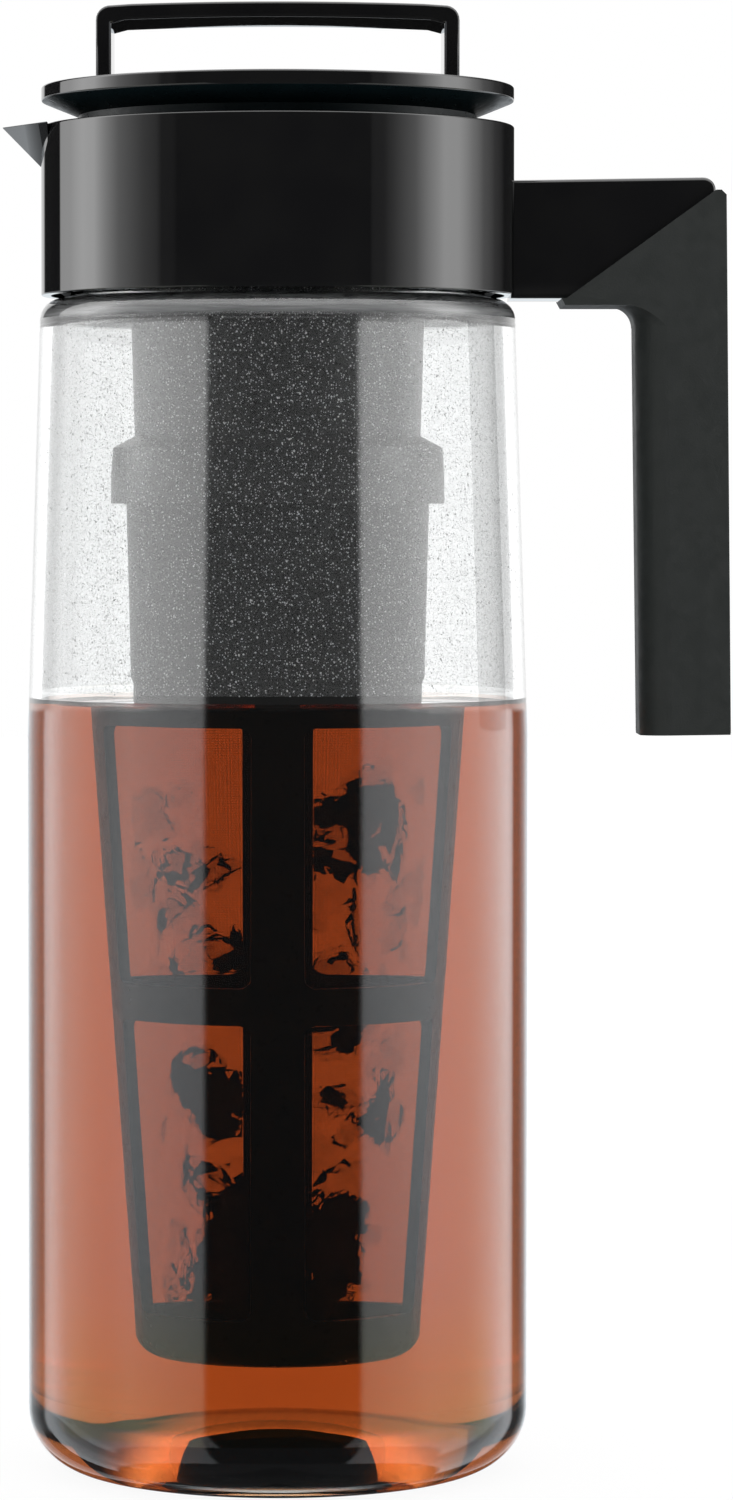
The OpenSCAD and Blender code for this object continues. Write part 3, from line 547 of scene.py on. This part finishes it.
corner = bend(LOOP_HALF - LOOP_ROUND, LOOP_TOP - LOOP_BOW - LOOP_ROUND, LOOP_ROUND, 0, 80, 6)
outer = corner + [(x, LOOP_TOP + bowed(x)) for x in bow[1:-1]] + [(-x, z) for x, z in corner[::-1]]
inner_half = LOOP_HALF - LOOP_T
inner_corner = LOOP_TOP - LOOP_T - LOOP_BOW - LOOP_DIP
inner = [(inner_half, inner_corner)]
inner += [(x * inner_half / LOOP_HALF, LOOP_TOP - LOOP_T + bowed(x)) for x in bow]
inner += [(-inner_half, inner_corner)]
loop = slab([(LOOP_HALF, LID_FACE)] + outer + [(-LOOP_HALF, LID_FACE), (-inner_half, LID_FACE)]
            + inner[::-1] + [(inner_half, LID_FACE)], LOOP_DEPTH, LOOP_SOFT)
finished(loop, "finger_loop", gloss_black, "lid", ["lid_loop"], sharp=50)

# Stopper and its two soft rings: the satin plug under the lid with the pouring slots and the
# infuser's socket. Its silicone rings lie in grooves and press on the collar and on the neck.
dressed("lid_stopper", satin_under)
dressed("lid_seal_upper", seal_silicone)
dressed("lid_seal_lower", seal_silicone)

# Infuser: a satin black tube with a bell at its foot, and the ribbed basket that locks into it.
# Both are moulded plastic, the tube dry above the tea and the basket wet in it.
dressed("infuser_tube", satin("satin_black_plastic", (0.006, 0.006, 0.006),
                              (0.0085, 0.0085, 0.0085), 1.33))
dressed("basket_frame", satin("satin_wet_plastic", (0.0055, 0.0058, 0.006),
                              (0.0075, 0.008, 0.0082), 1.12))

# Mesh: fine brown-stained nylon cloth, woven square and moulded into the basket's eight windows.
# Its threads follow the basket round and up, and light passes between them.
MESH_PITCH, MESH_R = 0.5, 25.5

mesh_cloth, tree, shader = shader_material("mesh_cloth", Roughness=0.6)
toned(tree, shader, grain(tree, 4), (0.02, 0.009, 0.006), (0.04, 0.018, 0.012))
place = position(tree)
round_it = maths(tree, "MULTIPLY", maths(tree, "ARCTAN2", place["Y"], place["X"]), MESH_R * MM)
threads = [maths(tree, "ABSOLUTE", maths(tree, "SINE", maths(
    tree, "MULTIPLY", way, math.pi / (MESH_PITCH * MM)))) for way in (round_it, place["Z"])]
weave = maths(tree, "SUBTRACT", 1.0, maths(tree, "MINIMUM", *threads))
wire(tree, blended(tree, stepped(tree, weave, 0.6, 0.9), 0.05, 0.24), shader.inputs["Alpha"])
for name in ("mesh_upper", "mesh_lower"):
    dressed(name, mesh_cloth)

# Tea leaves: soaked dark leaves that lie crumpled against the mesh inside the basket, thin and
# half clear at their edges, most of them sunk into the lower half.
LEAF_LOW, LEAF_RISE, LEAF_HIGH, LEAF_BOTTOM, LEAF_TOP = 34.0, 110.0, 147.0, 31.0, 152.0
BASKET_FOOT, BASKET_FOOT_R, BASKET_FLARE = 29.3, 20.2, 0.0546
LEAF_T, LEAF_WAVE, LEAF_CURL = 0.3, 0.5, 2.2

leaf, tree, shader = shader_material("tea_leaf", Roughness=0.6, IOR=1.36)
toned(tree, shader, grain(tree, 1.5), (0.012, 0.004, 0.0025), (0.05, 0.014, 0.006))
middle = node(tree, "Attribute", attribute_name="leaf_body").outputs["Fac"]
wire(tree, maths(tree, "MULTIPLY", stepped(tree, middle, 0.0, 0.9),
                 blended(tree, grain(tree, 5), 0.05, 0.17)), shader.inputs["Alpha"])
bumped(tree, shader, grain(tree, 0.6), 0.5, 0.1)
leaf_luck = random.Random(3)
leaves = bmesh.new()
leaf_body = leaves.verts.layers.float.new("leaf_body")
for count, smallest, largest, rough in ((104, 4.5, 10.0, 0.5), (30, 1.8, 3.6, 0.8)):
    for _ in range(count):
        z = LEAF_LOW + LEAF_RISE * leaf_luck.random() ** 1.7
        basket_r = BASKET_FOOT_R + (z - BASKET_FOOT) * BASKET_FLARE
        reach = basket_r * leaf_luck.uniform(0.5, 0.9)
        flake = bmesh.ops.create_icosphere(leaves, subdivisions=4, radius=MM)["verts"]
        size = leaf_luck.uniform(smallest, largest)
        shape = Vector((LEAF_T, size, size * leaf_luck.uniform(0.4, 1)))
        shift = Vector((leaf_luck.uniform(0, 100), 0, 0))
        tilt = Euler((leaf_luck.uniform(-0.9, 0.9), leaf_luck.uniform(-0.1, 0.1), 0))
        around = Matrix.Rotation(leaf_luck.uniform(-math.pi, math.pi), 4, "Z")
        for v in flake:
            v[leaf_body] = abs(v.co.x) / MM
            ragged = (0.9 + rough * noise.noise(v.co * 1500 + shift)
                      + 0.5 * rough * noise.noise(v.co * 4000 + shift))
            v.co = Vector(a * b for a, b in zip(v.co, shape)) * ragged
            v.co.rotate(tilt)
            bend_in = (v.co.y / MM) ** 2 / (LEAF_CURL * reach)
            v.co += Vector((reach - bend_in, 0, min(z, LEAF_HIGH))) * MM
            v.co.x += LEAF_WAVE * MM * noise.noise(v.co * 300 + shift)
            v.co = around @ v.co
            v.co.z = min(max(v.co.z, LEAF_BOTTOM * MM), LEAF_TOP * MM)
finished(leaves, "tea_leaves", leaf, "basket", sharp=60).modifiers.clear()

# Camera: a long lens in front of the pitcher, a little above its middle and aimed a little down.
# The lens is shifted sideways, so that the camera can face the axis straight on.
CAMERA_PLACE, CAMERA_TILT = (0, -1.15324, 0.19480), 87.70

camera_data = bpy.data.cameras.new("camera")
camera_data.sensor_width = 36
camera_data.lens = 134.22
camera_data.shift_x = 0.0592
camera_data.clip_start, camera_data.clip_end = 0.05, 50
camera = bpy.data.objects.new("camera", camera_data)
scene.collection.objects.link(camera)
camera.location = CAMERA_PLACE
camera.rotation_euler = (math.radians(CAMERA_TILT), 0, 0)
scene.camera = camera

# Softboxes: the light round the pitcher, which its glossy pieces mirror. Each row gives the radiance
# by the compass, in degrees from the camera's side towards the handle: the upper row is what the
# collar mirrors, the lower row what the pitcher mirrors.
UPPER = [(-180, 1.0), (-160, 1.0), (-157, 0.02), (-132, 0.02), (-131, 1.8), (-120, 2.7),
         (-109, 4.5), (-100, 5.0), (-91, 3.2), (-83, 1.8), (-68, 0.74), (-59.5, 0.4),
         (-58.5, 0.14), (-51, 0.12), (-50, 0.03), (45.5, 0.03), (46.5, 0.17), (53, 0.22),
         (54, 0.34), (57, 0.5), (70, 1.6), (78, 3.3), (88, 5.0), (98, 4.3),
         (109, 2.0), (119, 0.7), (131, 0.2), (144, 0.02), (170, 0.02), (174, 1.0)]
LOWER = [(-180, 1.0), (-165, 1.2), (-158, 0.9), (-141, 0.3), (-138, 0.4), (-134.5, 2.1),
         (-128, 2.4), (-116, 1.6), (-85, 1.8), (-73, 2.25), (-57, 2.0), (-41, 1.75), (-34.8, 1.6),
         (-33.4, 0.08), (38.6, 0.08), (40, 1.8), (48, 2.0), (59, 2.25), (75, 2.6), (85, 2.4),
         (102, 2.1), (118, 2.3), (130, 2.8), (134.5, 2.6), (137, 2.0), (139.5, 0.2), (147, 0.15),
         (151, 0.3), (156, 0.6), (163, 1.0)]
OVERHEAD, UNDER_FLOOR, UNDER_FLOOR_BEHIND = 3.5, 0.08, 0.03
TEA_SHARE, DEEP_SHARE, TEA_SIDE_SHARE, MIST_SHARE, MIST_EDGE = 0.66, 0.46, 1.38, 1.3, 1.25
SIDE_TONE, WET_TONE, TABLE_TONE = (0.52, 0.52, 0.52), (0.93, 0.985, 1.03), (1.0, 1.0, 0.68)
# Slopes of a ray, its rise over its level run, between which one tone gives way to the next.
TEA_EDGE, COLLAR_EDGE, DEEP_EDGE = (-0.0335, -0.0325), (0.0365, 0.0385), (-0.17, -0.035)
OVERHEAD_EDGE, TABLE_TOP_EDGE, TABLE_FOOT_EDGE = (0.5, 1.2), (-0.13, -0.165), (-0.45, -0.25)
FLOOR_SLOPE, FLOOR_SLOPE_BEHIND, FLOOR_EDGE = -1.1, -0.3, (-0.05, 0.05)

world = bpy.data.worlds.new("studio")
scene.world = world
world.use_nodes = True
world.cycles.sampling_method = "NONE"
tree = world.node_tree
tree.nodes.clear()
ray = node(tree, "SeparateXYZ")
tree.links.new(node(tree, "TexCoord").outputs["Generated"], ray.inputs[0])
bearing = maths(tree, "ARCTAN2", ray.outputs["X"], maths(tree, "MULTIPLY", ray.outputs["Y"], -1.0))
either_side = maths(tree, "ABSOLUTE", bearing)
level_run = maths(tree, "SQRT", maths(
    tree, "SUBTRACT", 1.0, maths(tree, "POWER", ray.outputs["Z"], 2.0)))
slope = maths(tree, "DIVIDE", ray.outputs["Z"], maths(tree, "MAXIMUM", level_run, 0.01))


def compass(stops):
    """The radiance of a row at a ray's bearing, from its stops of (degrees, radiance)."""
    ramp = node(tree, "ValToRGB")
    elements = ramp.color_ramp.elements
    strongest = max(level for _, level in stops)
    for i, (degrees, level) in enumerate(stops):
        at = degrees / 360 + 0.5
        element = elements[i] if i < 2 else elements.new(at)
        element.position = at
        grey = level / strongest
        element.color = (grey, grey, grey, 1)
    wire(tree, maths(tree, "MULTIPLY_ADD", bearing, 1 / (2 * math.pi), 0.5), ramp.inputs[0])
    return maths(tree, "MULTIPLY", ramp.outputs[0], strongest)


def past(angle, start, end):
    """A soft step of an angle, from 0 at start to 1 at end, in degrees."""
    return stepped(tree, angle, math.radians(start), math.radians(end))


# The pitcher mirrors the lower row, darker where tea stands behind the wall and most so low down.
behind = past(either_side, 158, 166)
tea_share = maths(tree, "MULTIPLY",
                  blended(tree, stepped(tree, slope, *DEEP_EDGE), DEEP_SHARE, TEA_SHARE),
                  blended(tree, past(either_side, 90, 124), 1.0, TEA_SIDE_SHARE))
wet = maths(tree, "MULTIPLY", compass(LOWER), tea_share)
misty = blended(tree, past(either_side, 112, 134),
                maths(tree, "MULTIPLY", compass(LOWER), MIST_SHARE), MIST_EDGE)
lower = blended(tree, stepped(tree, slope, *TEA_EDGE), wet, misty)
side_light = blended(tree, stepped(tree, slope, *COLLAR_EDGE),
                     blended(tree, behind, lower, 1.0), compass(UPPER))

# Below the rows it is dark. The dark starts at a steep slope, or at a gentle one behind the pitcher
# and in the direction that the beak mirrors.
beak_side = maths(tree, "MULTIPLY", past(bearing, -150, -147), past(bearing, -131, -134))
lowest = blended(tree, maths(tree, "MAXIMUM", behind, beak_side), FLOOR_SLOPE, FLOOR_SLOPE_BEHIND)
above_floor = stepped(tree, maths(tree, "SUBTRACT", slope, lowest), *FLOOR_EDGE)
sides = blended(tree, above_floor,
                blended(tree, behind, UNDER_FLOOR, UNDER_FLOOR_BEHIND), side_light)
softboxes = blended(tree, stepped(tree, slope, *OVERHEAD_EDGE), sides, OVERHEAD)

# What the wet part of the wall mirrors is cool, and yellowish low in front, where that is the
# table. Through the tea's sides a grey card shows in place of the white room.
path = node(tree, "LightPath")
mirrored = maths(tree, "GREATER_THAN", path.outputs["Glossy Depth"], 0.5)
in_tea = stepped(tree, slope, *TEA_EDGE[::-1])
low_down = maths(tree, "MULTIPLY", stepped(tree, slope, *TABLE_TOP_EDGE),
                 stepped(tree, slope, *TABLE_FOOT_EDGE))
low_front = maths(tree, "MULTIPLY", low_down, past(either_side, 125, 105))
side_card = maths(tree, "MULTIPLY", past(either_side, 158, 135),
                  maths(tree, "MULTIPLY", in_tea, path.outputs["Is Transmission Ray"]))
tint = coloured(tree, maths(tree, "MULTIPLY", mirrored, in_tea),
                coloured(tree, side_card, (1, 1, 1), SIDE_TONE),
                coloured(tree, low_front, WET_TONE, TABLE_TONE))
shine = node(tree, "Background")
tree.links.new(tint, shine.inputs["Color"])
wire(tree, blended(tree, mirrored, 1.0, softboxes), shine.inputs["Strength"])
tree.links.new(shine.outputs[0], node(tree, "OutputWorld").inputs["Surface"])

# Flag: a matt black card that stands upright behind the finger loop. Only mirrors see it, and it
# puts the dark band into the gloss of the lid and the loop.
FLAG_HALF, FLAG_LOW, FLAG_TOP, FLAG_BACK = 38.0, 286.0, 291.9, 80.0


def staged(bm, name):
    """Makes a piece of the studio with a material of its own, whose node tree starts empty."""
    mesh = bpy.data.meshes.new(name)
    bm.to_mesh(mesh)
    bm.free()
    piece = bpy.data.objects.new(name, mesh)
    scene.collection.objects.link(piece)
    material = bpy.data.materials.new(name)
    material.use_nodes = True
    material.node_tree.nodes.clear()
    mesh.materials.append(material)
    return piece, material.node_tree


flag = bmesh.new()
card_place = Matrix.Translation(Vector((0, FLAG_BACK, (FLAG_LOW + FLAG_TOP) / 2)) * MM)
card_shape = Matrix.Diagonal((FLAG_HALF * MM, (FLAG_TOP - FLAG_LOW) / 2 * MM, 1, 1))
bmesh.ops.create_grid(flag, x_segments=1, y_segments=1, size=1,
                      matrix=card_place @ Matrix.Rotation(math.pi / 2, 4, "X") @ card_shape)
flag, tree = staged(flag, "flag")
flag.visible_camera = flag.visible_diffuse = flag.visible_transmission = flag.visible_shadow = False
dark = node(tree, "BsdfDiffuse")
dark.inputs["Color"].default_value = (0.01, 0.01, 0.01, 1)
tree.links.new(dark.outputs[0], node(tree, "OutputMaterial").inputs["Surface"])

# Floor: the white table that the pitcher stands on, so wide that its edge never shows. It glows
# like the photo's white ground, less so close to the axis, where it is plain matt white. Mirrors
# don't see it, and through the tea's sides it shows grey.
FLOOR_REACH, FLOOR_GLOW, FLOOR_GLOW_SHARE = 4, 1.03, 0.9
MATT_R, GLOW_R, CARD_EDGE = 12.0, 34.0, (0.4, 1.0)

floor = bmesh.new()
bmesh.ops.create_circle(floor, cap_ends=True, segments=96, radius=FLOOR_REACH)
floor, tree = staged(floor, "floor")
matt = node(tree, "BsdfDiffuse")
matt.inputs["Color"].default_value = (0.9, 0.9, 0.9, 1)
path = node(tree, "LightPath")
spot = position(tree)
off_axis = maths(tree, "DIVIDE", maths(tree, "ABSOLUTE", spot["X"]),
                 maths(tree, "MAXIMUM", spot["Y"], 0.01))
on_card = maths(tree, "MULTIPLY", stepped(tree, off_axis, *CARD_EDGE),
                path.outputs["Is Transmission Ray"])
glow = node(tree, "Emission")
glow.inputs["Strength"].default_value = FLOOR_GLOW
tree.links.new(coloured(tree, on_card, (1, 1, 1), SIDE_TONE), glow.inputs["Color"])
from_axis = node(tree, "VectorMath", operation="LENGTH")
tree.links.new(node(tree, "TexCoord").outputs["Object"], from_axis.inputs[0])
out_there = stepped(tree, from_axis.outputs["Value"], MATT_R * MM, GLOW_R * MM)
lit = node(tree, "MixShader")
wire(tree, blended(tree, out_there, 0.0, FLOOR_GLOW_SHARE), lit.inputs[0])
tree.links.new(matt.outputs[0], lit.inputs[1])
tree.links.new(glow.outputs[0], lit.inputs[2])
shown = node(tree, "MixShader")
wire(tree, maths(tree, "GREATER_THAN", path.outputs["Glossy Depth"], 0.5), shown.inputs[0])
tree.links.new(lit.outputs[0], shown.inputs[1])
tree.links.new(node(tree, "BsdfTransparent").outputs[0], shown.inputs[2])
tree.links.new(shown.outputs[0], node(tree, "OutputMaterial").inputs["Surface"])

scene.view_settings.view_transform = "Standard"
